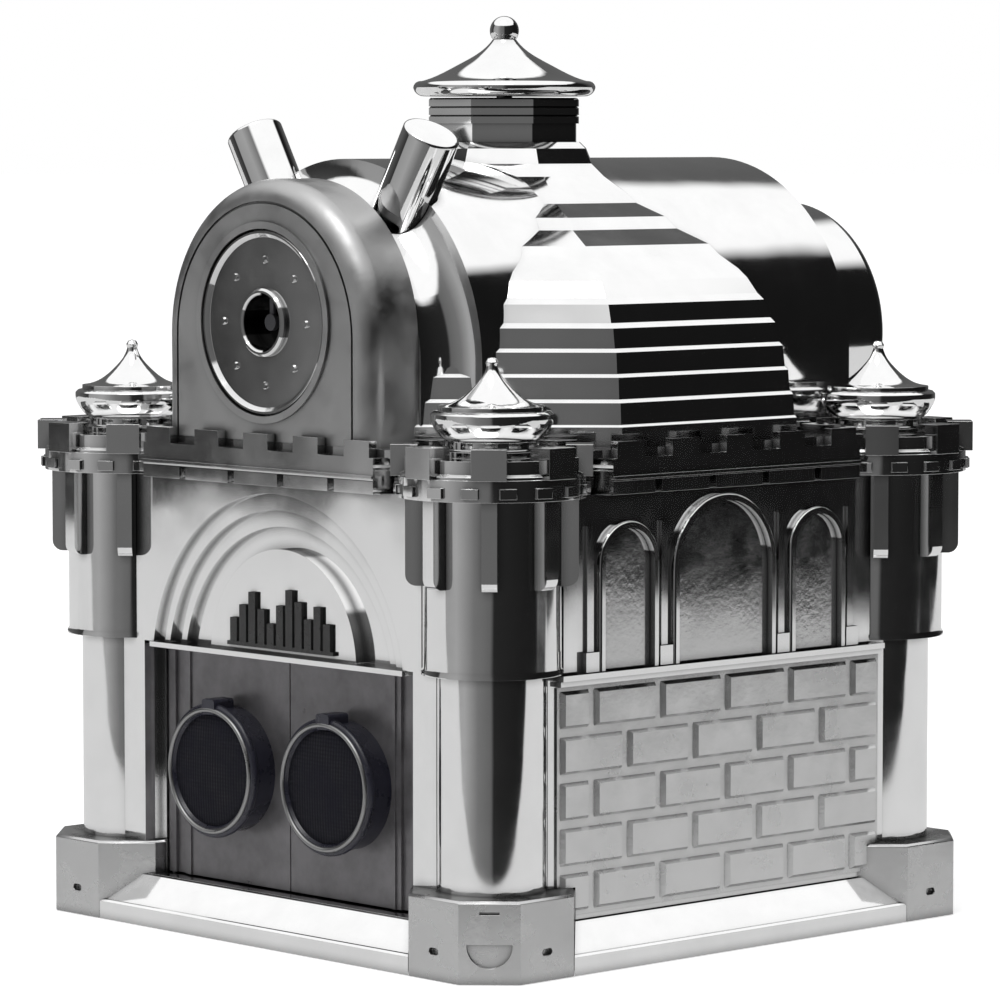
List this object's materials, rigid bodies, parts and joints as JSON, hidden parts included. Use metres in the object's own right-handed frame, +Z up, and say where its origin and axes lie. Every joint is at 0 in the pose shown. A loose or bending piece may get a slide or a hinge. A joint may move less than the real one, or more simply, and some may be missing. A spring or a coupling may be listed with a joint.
{
  "type": "boombox",
  "caption": "Portable radio in a chrome case shaped like a small domed building, with round speakers on hinged front doors, a tuning dial, push buttons and a rear bass drum.",
  "frame": {"origin": "on the surface it stands on, midway between the four corner columns", "axes": "+Z up; -Y is the front, with the doors and the dial; +X is the right-hand side seen from the front"},
  "size_m": [0.271, 0.2955, 0.3394],
  "materials": {
    "case_chrome": "mirror-polished chrome plating over moulded panels",
    "brick_chrome": "polished chrome plating, slightly softer than the case",
    "grille": "dark metallic, finely perforated",
    "door_panel": "dark grey, satin",
    "speaker_housing": "black, semi-gloss",
    "speaker_metal": "black, satin",
    "speaker_cone": "black, matte",
    "emblem": "black, glossy",
    "dial": "polished, darker than the case",
    "control_chrome": "mirror-polished",
    "steel": "zinc-plated",
    "foot_rubber": "matte",
    "component_plastic": "black, matte",
    "cell": "dark wrapper, glossy",
    "circuit_board": "green board, satin"
  },
  "bodies": {
    "casing": {"base_tray": "case_chrome", "plinth_front_left": "case_chrome", "plinth_front_right": "case_chrome", "plinth_rear_left": "case_chrome", "plinth_rear_right": "case_chrome", "column_front_left": "case_chrome", "column_front_right": "case_chrome", "column_rear_left": "case_chrome", "column_rear_right": "case_chrome", "capital_front_left": "case_chrome", "capital_front_right": "case_chrome", "capital_rear_left": "case_chrome", "capital_rear_right": "case_chrome", "wall_right": "case_chrome", "wall_left": "case_chrome", "wall_rear": "case_chrome", "front_wall": "case_chrome", "parapet": "case_chrome", "roof_deck": "case_chrome", "vault": "case_chrome", "gable_bezel": "case_chrome", "rear_drum": "case_chrome", "dome": "case_chrome", "lantern": "case_chrome", "brick_panel_right": "brick_chrome", "brick_panel_left": "brick_chrome", "rear_panel": "brick_chrome", "window_grille_right": "grille", "window_grille_left": "grille", "window_grille_rear": "grille", "woofer_basket": "speaker_metal", "woofer_cone": "speaker_cone", "level_bars": "emblem", "base_screws": "steel", "door_hinge_pins": "steel", "tuner_bracket": "steel", "button_spring_left": "steel", "button_spring_right": "steel", "volume_pot": "steel", "rubber_feet": "foot_rubber", "tuning_capacitor": "component_plastic", "button_switches": "component_plastic", "battery_box": "component_plastic", "rear_jacks": "component_plastic", "battery_cells": "cell", "main_board": "circuit_board"},
    "door_left": {"door_left": "door_panel", "speaker_pod_left": "speaker_housing", "speaker_basket_left": "speaker_metal", "speaker_cone_left": "speaker_cone"},
    "door_right": {"door_right": "door_panel", "speaker_pod_right": "speaker_housing", "speaker_basket_right": "speaker_metal", "speaker_cone_right": "speaker_cone"},
    "dial": {"tuning_dial": "dial", "dial_shaft": "steel"},
    "button_left": {"button_left": "control_chrome"},
    "button_right": {"button_right": "control_chrome"},
    "volume_knob": {"volume_cap": "control_chrome", "volume_shaft": "steel"}
  },
  "joints": [
    {"name": "door_left_hinge", "type": "hinge", "parent": "casing", "child": "door_left", "pos_m": [-0.0692, -0.1056, 0.0606], "axis": [0, 0, -1], "range_deg": [0, 90]},
    {"name": "door_right_hinge", "type": "hinge", "parent": "casing", "child": "door_right", "pos_m": [0.0692, -0.1056, 0.0606], "axis": [0, 0, 1], "range_deg": [0, 90]},
    {"name": "dial_turn", "type": "hinge", "parent": "casing", "child": "dial", "pos_m": [0, -0.103, 0.227], "axis": [0, -1, 0], "range_deg": [-90, 90]},
    {"name": "volume_turn", "type": "hinge", "parent": "casing", "child": "volume_knob", "pos_m": [0, 0, 0.31], "axis": [0, 0, 1], "range_deg": [-150, 150]},
    {"name": "button_left_press", "type": "slide", "parent": "casing", "child": "button_left", "axis": [0.5075, 0, -0.8616], "range_m": [0, 0.003], "stiffness_N_per_m": 600, "springref_m": -0.002, "deforming": ["button_spring_left"]},
    {"name": "button_right_press", "type": "slide", "parent": "casing", "child": "button_right", "axis": [-0.5075, 0, -0.8616], "range_m": [0, 0.003], "stiffness_N_per_m": 600, "springref_m": -0.002, "deforming": ["button_spring_right"]}
  ]
}
